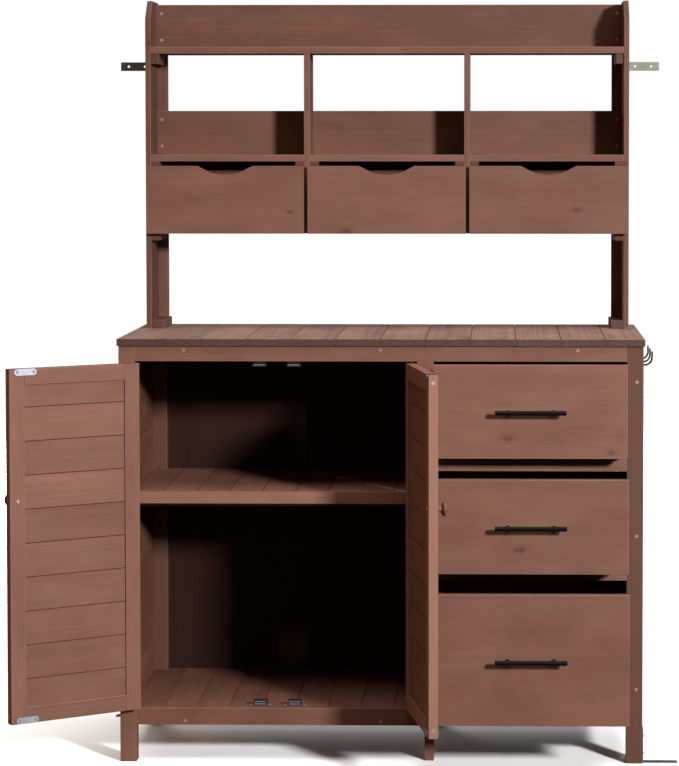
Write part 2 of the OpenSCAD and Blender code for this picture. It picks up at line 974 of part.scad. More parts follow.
// Places in a door's own frame: the hinge axis is the Z axis, the door lies along +X
door_face = knuckle_r + knuckle_clear;
door_back = door_face + frame_t;
door_in_x = pivot_in;
door_free_x = pivot_in + door_w;
door_knob_x = door_free_x - knob_in;

// Puts a door's shapes at its hinge, opened by an angle; s is -1 on the left, 1 on the right
module at_door(s, open) {
    translate([s < 0 ? door_x0 + pivot_in : door_x1 - pivot_in, pivot_y, 0])
        mirror([s > 0 ? 1 : 0, 0, 0])
            rotate([0, 0, -open])
                children();
}

module at_strike_screws() {
    middle = door_free_x - strike_in - strike_l / 2;
    for (z = [door_low + strike_w / 2, door_low + door_h - strike_w / 2]) {
        for (d = [-1, 1]) {
            translate([middle + d * (strike_l / 2 - strike_w / 2), door_back + strike_t, z])
                rotate([0, 0, 180])
                    children();
        }
    }
}

module at_edge_screws() {
    up = door_frame_w / 2;
    for (z = [door_low + up, door_low + door_h - up]) {
        translate([door_free_x, door_face + frame_t / 2, z]) rotate([0, 0, 90]) children();
    }
}

strike_screw_l = 13;
edge_screw_l = 60;
knob_bore = 12;

module door_screw_spaces() {
    at_strike_screws() screw_body(strike_screw_l);
    at_edge_screws() screw_body(edge_screw_l);
    translate([door_knob_x, door_face - over, knob_h])
        rotate([-90, 0, 0])
            cylinder(h = frame_t + 2 * over, r = machine_r);
}

module door_frame() {
    w = door_frame_w;
    difference() {
        union() {
            block([door_in_x, door_face, door_low], [w, frame_t, door_h]);
            block([door_free_x - w, door_face, door_low], [w, frame_t, door_h]);
        }
        door_board_space();
        door_screw_spaces();
    }
    difference() {
        union() {
            for (z = [door_low, door_low + door_h - w]) {
                block([door_in_x + w + fit_gap, door_face, z],
                      [door_w - 2 * w - 2 * fit_gap, frame_t, w]);
            }
        }
        door_board_space();
        door_screw_spaces();
    }
}

// Room for the boards and the grooves that hold them
module door_board_space() {
    up = door_frame_w - door_groove;
    block([door_in_x + up, door_back - door_board_inset - door_board_t, door_low + up],
          [door_w - 2 * up, door_board_t, door_h - 2 * up]);
}

module door_planks() {
    up = door_frame_w - door_groove;
    total = door_h - 2 * up;
    down = board_edges(total, door_first_board + door_groove, board_w);
    edges = [for (i = [len(down) - 1:-1:0]) total - down[i]];
    translate([door_in_x + up, door_back - door_board_inset - door_board_t, door_low + up])
        rotate([0, 0, -90])
            rotate([0, -90, 0])
                boards(edges, door_w - 2 * up, door_board_t);
}

// A turned wooden knob, standing out along -Y
module door_knob() {
    foot_r = knob_r * 0.55;
    neck_r = knob_r * 0.42;
    neck = knob_out * 0.4;
    rim = knob_out * 0.62;
    lip = 2;
    outline = concat(
        [[0, 0], [foot_r, 0], [neck_r, neck / 2], [neck_r, neck], [knob_r * 0.85, rim - lip]],
        [for (a = [0:15:90]) [knob_r * cos(a), rim + (knob_out - rim) * sin(a)]]
    );
    translate([door_knob_x, door_face, knob_h]) rotate([90, 0, 0]) difference() {
        rotate_extrude() polygon(outline);
        translate([0, 0, -over]) cylinder(h = knob_bore + over, r = machine_r);
    }
}

// Strike plates and screws on a door
module door_fittings() {
    middle = door_free_x - strike_in - strike_l / 2;
    for (z = [door_low + strike_w / 2, door_low + door_h - strike_w / 2]) {
        difference() {
            translate([middle, door_back + strike_t, z])
                rotate([90, 0, 0])
                    linear_extrude(strike_t)
                        rounded_strip(strike_l, strike_w);
            at_strike_screws() translate([0, -fit_gap, 0]) cylinder_hole(screw_head_r + fit_gap);
        }
    }
    at_strike_screws() screw(strike_screw_l);
    at_edge_screws() screw(edge_screw_l);
    translate([door_knob_x, door_face - knob_bore, knob_h]) rotate([-90, 0, 0]) {
        cylinder(h = knob_bore + frame_t, r = machine_r);
        translate([0, 0, knob_bore + frame_t]) cylinder(h = pan_head_h, r = pan_head_r);
    }
}

// A short hole along +Y that clears a screw's head
module cylinder_hole(r) {
    rotate([-90, 0, 0]) cylinder(h = strike_t + 2 * fit_gap, r = r);
}

// A flat strip with round ends, centred
module rounded_strip(l, w) {
    square([l - w, w], center = true);
    for (s = [-1, 1]) translate([s * (l - w) / 2, 0]) circle(r = w / 2);
}

// The door's hinge leaves with the middle knuckle of each
module door_leaves() {
    for (z = hinges_z) {
        difference() {
            union() {
                block([door_in_x - leaf_t, door_face, z], [leaf_t, leaf_w, hinge_l]);
                block([door_in_x - leaf_t, pin_r / 2, z + knuckle_l + knuckle_gap],
                      [leaf_t, door_face, knuckle_l - 2 * knuckle_gap]);
                translate([0, 0, z + knuckle_l + knuckle_gap])
                    cylinder(h = knuckle_l - 2 * knuckle_gap, r = knuckle_r);
            }
            translate([0, 0, z - over]) cylinder(h = hinge_l + 2 * over, r = pin_r + pin_clear);
        }
    }
}

// The jamb's hinge leaves with the outer two knuckles of each
module jamb_leaves() {
    for (z = hinges_z) {
        difference() {
            union() {
                block([-pivot_in, door_face, z], [leaf_t, leaf_w, hinge_l]);
                for (k = [0, 2]) {
                    block([-pivot_in, pin_r / 2, z + k * knuckle_l], [leaf_t, door_face, knuckle_l]);
                    translate([0, 0, z + k * knuckle_l]) cylinder(h = knuckle_l, r = knuckle_r);
                }
            }
            translate([0, 0, z - over]) cylinder(h = hinge_l + 2 * over, r = pin_r);
        }
    }
}

module hinge_jamb_leaves() {
    color(steel) {
        at_door(-1, 0) jamb_leaves();
        at_door(1, 0) jamb_leaves();
    }
}

module hinge_pins() {
    color(steel) {
        for (s = [-1, 1]) {
            at_door(s, 0) {
                for (z = hinges_z) translate([0, 0, z]) cylinder(h = hinge_l, r = pin_r);
            }
        }
    }
}

module left_door_frame() {
    color(wood) at_door(-1, left_door_open) door_frame();
}

module left_door_planks() {
    color(wood) at_door(-1, left_door_open) door_planks();
}

module left_door_knob() {
    color(wood) at_door(-1, left_door_open) door_knob();
}

module left_door_leaves() {
    color(steel) at_door(-1, left_door_open) door_leaves();
}

module left_door_fittings() {
    color(steel) at_door(-1, left_door_open) door_fittings();
}

module right_door_frame() {
    color(wood) at_door(1, right_door_open) door_frame();
}

module right_door_planks() {
    color(wood) at_door(1, right_door_open) door_planks();
}

module right_door_knob() {
    color(wood) at_door(1, right_door_open) door_knob();
}

module right_door_leaves() {
    color(steel) at_door(1, right_door_open) door_leaves();
}

module right_door_fittings() {
    color(steel) at_door(1, right_door_open) door_fittings();
}

// ---------- Drawers ----------

module at_handle_posts(i) {
    middle = (drawer_x0 + drawer_x1) / 2;
    z = (drawers_low[i] + drawers_top[i]) / 2;
    for (s = [-1, 1]) translate([middle + s * handle_pitch / 2, front_y, z]) children();
}

module drawer_front(i) {
    h = drawers_top[i] - drawers_low[i] - 2 * drawer_gap;
    color(wood) translate([0, -drawer_pull[i], 0]) difference() {
        block([drawer_x0 + drawer_gap, front_y, drawers_low[i] + drawer_gap],
              [drawer_open_w - 2 * drawer_gap, frame_t, h]);
        at_handle_posts(i)
            translate([0, -over, 0])
                rotate([-90, 0, 0])
                    cylinder(h = frame_t + 2 * over, r = machine_r);
    }
}

// An open box behind a drawer front: two sides, a rear board and a bottom sheet in grooves
module open_box(x0, w, y0, l, z0, h, side_t, bottom_t, groove, up) {
    module sheet(gap) {
        block([x0 + side_t - groove + gap, y0 + gap, z0 + up + gap],
              [w - 2 * side_t + 2 * groove - 2 * gap, l - side_t + groove - 2 * gap,
               bottom_t - 2 * gap]);
    }
    difference() {
        union() {
            block([x0, y0, z0], [side_t, l, h]);
            block([x0 + w - side_t, y0, z0], [side_t, l, h]);
        }
        sheet(0);
    }
    difference() {
        block([x0 + side_t + fit_gap, y0 + l - side_t, z0],
              [w - 2 * side_t - 2 * fit_gap, side_t, h]);
        sheet(0);
    }
    sheet(fit_gap);
}

module drawer_box(i) {
    low = drawers_low[i] + slide_gap;
    h = drawers_top[i] - drawer_gap - drawer_side_drop - low;
    color(wood) translate([0, -drawer_pull[i], 0])
        open_box(drawer_x0 + drawer_box_gap, drawer_box_w, frame_y, drawer_box_l, low, h,
                 drawer_side_t, drawer_bottom_t, bottom_groove, bottom_up);
}

module drawer_handle(i) {
    post_r = handle_r * 0.8;
    bore = 12;
    middle = (drawer_x0 + drawer_x1) / 2;
    z = (drawers_low[i] + drawers_top[i]) / 2;
    color(black) translate([0, -drawer_pull[i], 0]) {
        difference() {
            union() {
                translate([middle - handle_l / 2, front_y - handle_out, z])
                    rotate([0, 90, 0])
                        cylinder(h = handle_l, r = handle_r);
                at_handle_posts(i) rotate([90, 0, 0]) cylinder(h = handle_out, r = post_r);
            }
            at_handle_posts(i)
                translate([0, over, 0])
                    rotate([90, 0, 0])
                        cylinder(h = bore + over, r = machine_r + fit_gap);
        }
        at_handle_posts(i) rotate([-90, 0, 0]) {
            translate([0, 0, fit_gap - bore]) cylinder(h = bore - fit_gap + frame_t, r = machine_r);
            translate([0, 0, frame_t]) cylinder(h = pan_head_h, r = pan_head_r);
        }
    }
}

module hutch_drawer_front(i) {
    middle = (i - 1) * small_pitch;
    shoulder = 0.4 * scoop_w;
    shoulder_d = sqrt(scoop_r * scoop_r - shoulder * shoulder) - scoop_r + scoop_d;
    color(wood) translate([middle, hutch_y0 - small_pull[i], small_low])
        rotate([90, 0, 0])
            linear_extrude(small_front_t)
                difference() {
                    translate([-small_front_w / 2, 0]) square([small_front_w, small_front_h]);
                    translate([0, small_front_h]) {
                        intersection() {
                            translate([0, scoop_r - scoop_d]) circle(r = scoop_r);
                            translate([-shoulder, -scoop_d - over])
                                square([2 * shoulder, scoop_d + 2 * over]);
                        }
                        polygon([[-scoop_w / 2, over], [-scoop_w / 2, 0], [-shoulder, -shoulder_d],
                                 [shoulder, -shoulder_d], [scoop_w / 2, 0], [scoop_w / 2, over]]);
                    }
                }
}

module hutch_drawer_box(i) {
    x0 = compartments_x0[i] + small_box_gap;
    w = compartments_x1[i] - small_box_gap - x0;
    low = small_runner_z + slide_gap;
    h = small_top - small_box_drop - low;
    sheet_t = 4;
    groove = 3;
    up = 6;
    color(wood) translate([0, -small_pull[i], 0])
        open_box(x0, w, hutch_y0, small_box_l, low, h, small_side_t, sheet_t, groove, up);
}

module drawer_1_front() { drawer_front(0); }
module drawer_1_box() { drawer_box(0); }
module drawer_1_handle() { drawer_handle(0); }
module drawer_2_front() { drawer_front(1); }
module drawer_2_box() { drawer_box(1); }
module drawer_2_handle() { drawer_handle(1); }
module drawer_3_front() { drawer_front(2); }
module drawer_3_box() { drawer_box(2); }
module drawer_3_handle() { drawer_handle(2); }
module hutch_drawer_1_front() { hutch_drawer_front(0); }
module hutch_drawer_1_box() { hutch_drawer_box(0); }
module hutch_drawer_2_front() { hutch_drawer_front(1); }
module hutch_drawer_2_box() { hutch_drawer_box(1); }
module hutch_drawer_3_front() { hutch_drawer_front(2); }
module hutch_drawer_3_box() { hutch_drawer_box(2); }

front_left_leg();
front_right_leg();
rear_left_leg();
rear_right_leg();
front_stile();
partition_posts();
top_front_rail();
bottom_front_rail();
drawer_rails();
rear_rails();
side_rails();
side_planks();
partition_planks();
back_panels();
inner_cleats();
floor_boards();
shelf_boards();
shelf_front_rail();
drawer_runners();
table_joists();
table_boards();
hutch_sides();
hutch_posts();
hutch_back_boards();
hutch_top_shelf();
hutch_middle_shelf();
hutch_dividers();
hutch_cleats();
wall_brackets();
floor_brackets();
side_hooks();
door_catches();
hinge_jamb_leaves();
hinge_pins();
wood_screws();
left_door_frame();
left_door_planks();
left_door_knob();
left_door_leaves();
left_door_fittings();
right_door_frame();
right_door_planks();
right_door_knob();
right_door_leaves();
right_door_fittings();
drawer_1_front();
drawer_1_box();
drawer_1_handle();
drawer_2_front();
drawer_2_box();
drawer_2_handle();
drawer_3_front();
drawer_3_box();
drawer_3_handle();
hutch_drawer_1_front();
hutch_drawer_1_box();
hutch_drawer_2_front();
hutch_drawer_2_box();
hutch_drawer_3_front();
hutch_drawer_3_box();
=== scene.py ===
import json
import math
import random

import bmesh
import bpy
from mathutils import Matrix, Vector


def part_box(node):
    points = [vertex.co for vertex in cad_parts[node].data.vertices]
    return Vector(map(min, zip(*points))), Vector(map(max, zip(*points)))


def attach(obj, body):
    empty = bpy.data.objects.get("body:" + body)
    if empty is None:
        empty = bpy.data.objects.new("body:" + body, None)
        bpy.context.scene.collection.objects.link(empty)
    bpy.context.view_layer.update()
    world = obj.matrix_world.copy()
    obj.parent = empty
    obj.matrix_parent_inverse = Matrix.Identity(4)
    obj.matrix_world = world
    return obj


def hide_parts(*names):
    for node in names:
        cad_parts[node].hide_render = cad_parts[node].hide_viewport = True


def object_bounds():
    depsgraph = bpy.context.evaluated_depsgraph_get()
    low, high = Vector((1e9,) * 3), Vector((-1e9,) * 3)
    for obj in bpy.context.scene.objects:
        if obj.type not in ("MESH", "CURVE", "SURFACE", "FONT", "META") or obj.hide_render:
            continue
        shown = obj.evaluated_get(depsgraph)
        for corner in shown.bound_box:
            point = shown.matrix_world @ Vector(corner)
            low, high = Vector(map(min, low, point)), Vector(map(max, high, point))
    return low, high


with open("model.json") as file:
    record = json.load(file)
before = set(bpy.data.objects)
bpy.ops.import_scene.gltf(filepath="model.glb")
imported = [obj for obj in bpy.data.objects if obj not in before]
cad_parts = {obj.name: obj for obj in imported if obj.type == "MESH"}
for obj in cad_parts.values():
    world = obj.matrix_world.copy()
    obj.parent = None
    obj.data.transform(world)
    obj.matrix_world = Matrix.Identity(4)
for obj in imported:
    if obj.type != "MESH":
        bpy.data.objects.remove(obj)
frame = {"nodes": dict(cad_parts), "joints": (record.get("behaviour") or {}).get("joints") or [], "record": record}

# A stained wooden potting bench. Each CAD node is shown by a copy of its own mesh with eased
# edges. Each board has coordinates of its own, so that the grain runs along it.
# Lengths are in metres, unless a value's comment says millimetres.

CAD_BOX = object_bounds()
MM = 0.001
BODIES = frame["record"]["behaviour"]["bodies"]
BODY_OF = {node: body for body, nodes in BODIES.items() for node in nodes}


# ---------- Which material and edge each node gets ----------

# Radius of the eased edges, in millimetres
PLAIN_EDGE = 1.2
TONGUED_EDGE = 0.3
METAL_EDGE = 0.25
HANDLE_EDGE = 0.9
HOOK_EDGE = 0.4
# Edges up to this long stay as they are, in millimetres: on wood and turned parts, on small
# metal pieces, and on round bars
WOOD_SHORTEST = 12.0
METAL_SHORTEST = 4.0
BAR_SHORTEST = 0.0
# Points this near are one point, in millimetres
SAME_POINT = 0.004
# Faces within this angle are one face, in degrees
SAME_PLANE = 0.4
# In degrees: edges sharper than the first are eased, and those that are still sharper than the
# second stay crisp in the shading
EASED_ANGLE = 50
CRISP_ANGLE = 34

# How squarely a board's end looks along it, and how squarely a chamfer's face looks across and
# through the board, from 0 to 1
END_FACING = 0.7
CHAMFER_FACING = (0.6, 0.8)

# Millimetres: a catch's case is deeper than the first, and its base plate, with a little to
# spare, is as thick as the second
CATCH_CASE = 10.0
CATCH_PLATE = 1.7
# Metal thinner than this is sheet, and so is any piece wider than a screw's head (millimetres)
SHEET_T = 2.2
SCREW_HEAD_W = 10.0

DRAWERS = (1, 2, 3)
PLAIN_NODES = [
    "front_left_leg", "front_right_leg", "rear_left_leg", "rear_right_leg", "front_stile",
    "partition_posts", "top_front_rail", "bottom_front_rail", "drawer_rails", "rear_rails",
    "side_rails", "inner_cleats", "shelf_front_rail", "drawer_runners", "table_joists",
    "hutch_sides", "hutch_posts", "hutch_back_boards", "hutch_top_shelf",
    "hutch_middle_shelf", "hutch_dividers", "hutch_cleats", "left_door_frame",
    "right_door_frame",
]
for kind in ("drawer", "hutch_drawer"):
    for number in DRAWERS:
        PLAIN_NODES += [f"{kind}_{number}_front", f"{kind}_{number}_box"]
TONGUED_NODES = [
    "side_planks", "partition_planks", "floor_boards", "shelf_boards", "left_door_planks",
    "right_door_planks",
]
STEEL_NODES = [
    "hinge_jamb_leaves", "hinge_pins", "wood_screws", "left_door_leaves",
    "left_door_fittings", "right_door_leaves", "right_door_fittings",
]
HANDLES = [f"drawer_{number}_handle" for number in DRAWERS]
BRACKETS = ["wall_brackets", "floor_brackets"]
KNOBS = ["left_door_knob", "right_door_knob"]

# How much lighter (above 0) or darker (below 0) these nodes are drawn than the rest. The
# hutch's entries and the lower drawer fronts are darker as painted shade, for light that falls
# off away from the table's height. The hutch drawers' boxes are also darker as painted shadow
# behind their fronts. The right door's frame is lighter as painted light on its lit edge. The
# other entries only set how light or dark a node is drawn.
NODE_TONES_AND_PAINTED_LIGHT = {
    "front_right_leg": -0.72,
    "front_left_leg": 0.1,
    "rear_left_leg": -0.7,
    # Painted light: the right door's frame is drawn lighter for its lit edge
    "right_door_frame": 0.75,
    "top_front_rail": 0.05,
    "bottom_front_rail": -0.2,
    "shelf_front_rail": 0.3,
    "shelf_boards": 0.4,
    "floor_boards": -0.1,
    "side_planks": -0.25,
    "inner_cleats": -0.8,
    # Painted shade: the lower drawer fronts are darker towards the bottom
    "drawer_2_front": -0.06,
    "drawer_3_front": -0.08,
    # Painted shade: the hutch's boards are darker for light that falls off above the table
    "hutch_back_boards": -0.36,
    "hutch_sides": -0.5,
    "hutch_posts": -0.25,
    "hutch_top_shelf": -0.2,
    "hutch_middle_shelf": -0.2,
    "hutch_dividers": -0.2,
    "hutch_cleats": -0.2,
    "hutch_drawer_1_front": -0.2,
    "hutch_drawer_2_front": -0.15,
    "hutch_drawer_3_front": -0.3,
    # Painted shadow: the hutch drawers' boxes are darker behind their fronts
    "hutch_drawer_1_box": -0.6,
    "hutch_drawer_2_box": -0.6,
    "hutch_drawer_3_box": -0.6,
}
# The most that chance makes one board lighter or darker
BOARD_SPREAD = 0.14


# ---------- The grain ----------

# How fast each pattern changes along a board, across it and through it, per metre
RING_WANDER = (1.3, 9.0, 9.0)
STREAK = (1.8, 38.0, 38.0)
FIBRE = (9.0, 520.0, 520.0)
CLOUD = (6.5, 14.0, 14.0)
WARMTH = (7.0, 15.0, 15.0)
# How far a growth ring wanders from round, and the shares of its width over which it darkens
# and ends
RING_SWAY = 0.016
RING_RISE = (0.15, 0.85)
RING_FALL = (0.88, 1.0)
# The loose grid of the knots, how much less a distance along the grain counts than one across
# it, which makes them oval, how ragged their edge is, and the smallest and largest radius
KNOT_CELL = (0.24, 0.085, 0.3)
KNOT_SQUEEZE = 0.55
KNOT_RAGGED = 0.007
KNOT_RADIUS = (0.0028, 0.0075)
# How much an eased edge is drawn lighter, partly as wear and partly as a painted highlight where
# a rounded edge catches the light, and how much the wood round a knot is darker
WEAR_AND_HIGHLIGHT_LIFT = 0.6
HALO_DROP = 0.16
# How far a board's end and a knot take their own colour
END_SHARE = 0.85
KNOT_SHARE = 0.55
# Places in the tree: along the board, and to each side and in depth from the pith
PITH_ALONG = 9
PITH_ASIDE = 0.05
PITH_DEPTH = (0.025, 0.11)


# ---------- The studio ----------

FLOOR_SIZE = 900.0
# The light of the world on surfaces, and in reflections
FILL_LIGHT = (0.1, 0.066, 0.046, 1)
GLOSS_LIGHT = (0.15, 0.14, 0.13, 1)
WHITE = (1, 1, 1)
# Each light's way is its azimuth and its height in degrees, as light_way has them, and its
# distance is measured from the bench's middle. Their power is in watts
KEY_WAY = (34.0, 16.0)
KEY_SIZE = 0.75
KEY_DISTANCE = 8.0
KEY_POWER = 1170.0
BOUNCE_WAY = (-70.0, 5.0)
BOUNCE_SIZE = 2.0
BOUNCE_DISTANCE = 5.0
BOUNCE_POWER = 60.0
BOUNCE_TINT = (1.0, 0.6, 0.28)
REAR_WAY = (-165.0, 12.0)
REAR_SIZE = 2.5
REAR_DISTANCE = 6.0
REAR_POWER = 300.0
# The overhead light's power is in watts per square metre, and its spread in degrees
OVERHEAD_PLACE = (0.6, -0.9, 4.8)
OVERHEAD_POWER = 3.5
OVERHEAD_SPREAD = 50.0

# The camera's place right of the middle, above the floor and in front of the top rail, how far
# it turns to the left and down in degrees, its lens and sensor in millimetres, and its shift
CAMERA_RIGHT = 0.256
CAMERA_UP = 1.322
CAMERA_DISTANCE = 5.6
CAMERA_LEFT = 1.12
CAMERA_DOWN = 2.53
CAMERA_LENS = 124.0
CAMERA_SENSOR = 36.0
CAMERA_SHIFT = (-0.1433, -0.158)


# ---------- Node trees ----------

class Tree:
    """Short names for adding and linking shader nodes."""

    def __init__(self, tree):
        self.tree = tree

    def add(self, kind, **values):
        node = self.tree.nodes.new(kind)
        for key, value in values.items():
            setattr(node, key, value)
        return node

    def link(self, source, target):
        self.tree.links.new(source, target)

    def fill(self, socket, value):
        """Sets a socket to a number or a colour, or links it to another socket."""
        if isinstance(value, bpy.types.NodeSocket):
            self.link(value, socket)
        else:
            socket.default_value = value

    def attribute(self, name, output="Fac"):
        return self.add("ShaderNodeAttribute", attribute_name=name).outputs[output]

    def object_place(self):
        return self.add("ShaderNodeTexCoord").outputs["Object"]

    def math(self, operation, a, b=0.0):
        node = self.add("ShaderNodeMath", operation=operation)
        self.fill(node.inputs[0], a)
        self.fill(node.inputs[1], b)
        return node.outputs[0]

    def times(self, a, b):
        return self.math("MULTIPLY", a, b)

    def centred(self, value, strength):
        """A value around 0.5 moved to lie around 0, times a strength."""
        return self.times(self.math("SUBTRACT", value, 0.5), strength)

    def vector(self, operation, a, b):
        node = self.add("ShaderNodeVectorMath", operation=operation)
        self.fill(node.inputs[0], a)
        self.fill(node.inputs[1], b)
        return node

    def scaled(self, vector, factors):
        return self.vector("MULTIPLY", vector, factors).outputs["Vector"]

    def length(self, vector):
        return self.vector("LENGTH", vector, (0, 0, 0)).outputs["Value"]

    def noise(self, vector, scale, detail=2.0, roughness=0.5):
        node = self.add("ShaderNodeTexNoise")
        self.link(vector, node.inputs["Vector"])
        node.inputs["Scale"].default_value = scale
        node.inputs["Detail"].default_value = detail
        node.inputs["Roughness"].default_value = roughness
        return node.outputs["Fac"]

    def spread(self, value, low, high, to_low=0.0, to_high=1.0, smooth=False):
        """Maps low..high of a value to to_low..to_high."""
        node = self.add("ShaderNodeMapRange")
        node.interpolation_type = "SMOOTHSTEP" if smooth else "LINEAR"
        self.fill(node.inputs["Value"], value)
        self.fill(node.inputs["From Min"], low)
        self.fill(node.inputs["From Max"], high)
        self.fill(node.inputs["To Min"], to_low)
        self.fill(node.inputs["To Max"], to_high)
        return node.outputs["Result"]

    def mix(self, factor, a, b, blend="MIX"):
        """Mixes two colours. They are the colour sockets of the Mix node, inputs 6 and 7."""
        node = self.add("ShaderNodeMix", data_type="RGBA", blend_type=blend)
        self.fill(node.inputs[0], factor)
        self.fill(node.inputs[6], a)
        self.fill(node.inputs[7], b)
        return node.outputs[2]

    def bump(self, height, strength, distance):
        node = self.add("ShaderNodeBump")
        node.inputs["Strength"].default_value = strength
        node.inputs["Distance"].default_value = distance
        self.link(height, node.inputs["Height"])
        return node.outputs["Normal"]


def colour(r, g, b):
    """An sRGB colour of 0..255 values as linear RGBA."""
    linear = []
    for c in (r, g, b):
        c = c / 255
        linear.append(c / 12.92 if c <= 0.04045 else ((c + 0.055) / 1.055) ** 2.4)
    return (*linear, 1.0)


def new_material(name):
    """A new material, its node tree and its Principled shader."""
    material = bpy.data.materials.new(name)
    material.use_nodes = True
    shader = material.node_tree.nodes["Principled BSDF"]
    return material, Tree(material.node_tree), shader


# ---------- Wood ----------

def ring_lines(t, place, gap):
    """Growth rings: the distance from a pith line that lies along the board, cut into rings."""
    wander = t.noise(t.scaled(place, RING_WANDER), 1.0, 2.0)
    radius = t.length(t.scaled(place, (0.0, 1.0, 1.0)))
    phase = t.math("DIVIDE", t.math("ADD", radius, t.centred(wander, RING_SWAY)), gap)
    part = t.math("FRACT", phase)
    rise = t.spread(part, *RING_RISE, smooth=True)
    fall = t.spread(part, *RING_FALL, 1.0, 0.0, smooth=True)
    return t.times(rise, fall)


def knot_spots(t, place, share):
    """Dark oval knots with a lighter core, in a share of the cells of a loose grid over the
    board's face, and the darker wood round each."""
    grid = t.scaled(place, tuple(1 / c for c in KNOT_CELL))
    voronoi = t.add("ShaderNodeTexVoronoi", feature="F1")
    t.link(grid, voronoi.inputs["Vector"])
    voronoi.inputs["Scale"].default_value = 1.0
    voronoi.inputs["Randomness"].default_value = 0.85
    offset = t.vector("SUBTRACT", grid, voronoi.outputs["Position"]).outputs["Vector"]
    distance = t.length(t.scaled(offset, (KNOT_CELL[0] * KNOT_SQUEEZE, KNOT_CELL[1], 0.0)))
    ragged = t.centred(t.noise(place, 160.0, 3.0, 0.65), KNOT_RAGGED)
    distance = t.math("ADD", distance, ragged)
    chance = t.add("ShaderNodeSeparateColor")
    t.link(voronoi.outputs["Color"], chance.inputs[0])
    present = t.math("GREATER_THAN", chance.outputs[0], 1.0 - share)
    size = t.spread(chance.outputs[1], 0.0, 1.0, *KNOT_RADIUS)
    radii = t.math("DIVIDE", distance, size)
    spot = t.spread(radii, 0.55, 1.25, 1.0, 0.0, smooth=True)
    halo = t.spread(radii, 1.0, 3.2, 1.0, 0.0, smooth=True)
    core = t.spread(radii, 0.2, 0.75, 0.45, 1.0, smooth=True)
    return t.times(t.times(spot, core), present), t.times(halo, present)


def stain_and_painted_light_level(t, patterns, halo):
    """How light the wood is drawn, from 0 to 1: its stain and grain, the painted shade and painted
    light that the tones bring, and eased edges drawn lighter as wear and as a painted highlight.
    patterns has pairs of a pattern and a strength.
    """
    # The tone holds random board tone and, for some nodes, painted shade and painted light
    level = t.attribute("tone_and_painted_light")
    for pattern, strength in patterns:
        level = t.math("ADD", level, t.centred(pattern, strength))
    # Eased edges lighter: part wear, part painted highlight
    level = t.math("ADD", level, t.times(t.attribute("wear_and_highlight"), WEAR_AND_HIGHLIGHT_LIFT))
    level = t.math("SUBTRACT", level, t.times(halo, HALO_DROP))
    level = t.math("SUBTRACT", level, t.attribute("pool"))
    return t.spread(level, -0.5, 0.5)


def wood(name, light, dark, knot, end_light, rings=0.07, streaks=0.22, fibres=0.16, clouds=0.8,
         knots=0.2, ring_gap=0.0042, roughness=(0.52, 0.68), relief=0.25, specular=0.22):
    """Stained softwood. light and dark are the stain on open and on dense grain. A sawn board
    end soaks up more stain: end_light is its open grain, and knot its dense grain."""
    material, t, shader = new_material(name)
    place = t.attribute("grain", "Vector")
    ring = ring_lines(t, place, ring_gap)
    streak = t.noise(t.scaled(place, STREAK), 1.0, 3.0, 0.55)
    fibre = t.noise(t.scaled(place, FIBRE), 1.0, 3.0, 0.6)
    cloud = t.noise(t.scaled(place, CLOUD), 1.0, 5.0, 0.6)
    warmth = t.noise(t.scaled(place, WARMTH), 1.3, 3.0, 0.5)
    spot, halo = knot_spots(t, place, knots)

    patterns = ((streak, streaks), (ring, -rings), (fibre, fibres), (cloud, clouds))
    base = t.mix(stain_and_painted_light_level(t, patterns, halo), dark, light)
    hue = t.mix(t.spread(warmth, 0.3, 0.7), (1.03, 0.975, 0.985, 1), (0.98, 1.03, 1.0, 1))
    base = t.mix(1.0, base, hue, "MULTIPLY")
    end_grain = t.mix(ring, end_light, knot)
    base = t.mix(t.times(t.attribute("end"), END_SHARE), base, end_grain)
    base = t.mix(t.times(spot, KNOT_SHARE), base, knot)
    t.link(base, shader.inputs["Base Color"])

    smooth, rough = roughness
    t.link(t.spread(fibre, 0.3, 0.7, rough, smooth), shader.inputs["Roughness"])
    height = t.math("ADD", t.times(fibre, 0.6), t.times(ring, 0.35))
    height = t.math("ADD", height, t.times(streak, 0.5))
    t.link(t.bump(height, relief, 0.0006), shader.inputs["Normal"])
    shader.inputs["Specular IOR Level"].default_value = specular
    return material


def frame_pine():
    return wood("stained_pine", light=colour(113, 77, 63), dark=colour(75, 46, 35),
                knot=colour(36, 17, 10), end_light=colour(76, 48, 37))


def table_pine():
    """The table's boards show their rings and streaks more strongly."""
    return wood("table_pine", light=colour(134, 106, 94), dark=colour(88, 63, 54),
                knot=colour(34, 18, 12), end_light=colour(53, 22, 13), rings=0.22,
                streaks=0.55, fibres=0.35, clouds=0.9, ring_gap=0.0085, relief=0.35)


# The cabinet's back: stained plywood drawn very dark, part stain and part painted shade for the shade inside the
# cabinet. From behind it shows as a darker sheet.
def stained_plywood():
    return wood("stained_plywood", light=colour(46, 22, 15), dark=colour(28, 12, 8),
                knot=colour(18, 7, 5), end_light=colour(38, 20, 14), rings=0.1, knots=0.06,
                ring_gap=0.011, specular=0.1)


def turned_wood():
    return wood("turned_knob", light=colour(112, 76, 58), dark=colour(76, 48, 36),
                knot=colour(40, 24, 18), end_light=colour(100, 68, 52), knots=0.0,
                ring_gap=0.0025)


# ---------- Metal, plastic and paint ----------

# How metallic screws and pins are. Pressed sheet is 1
SCREW_METALLIC = 0.45


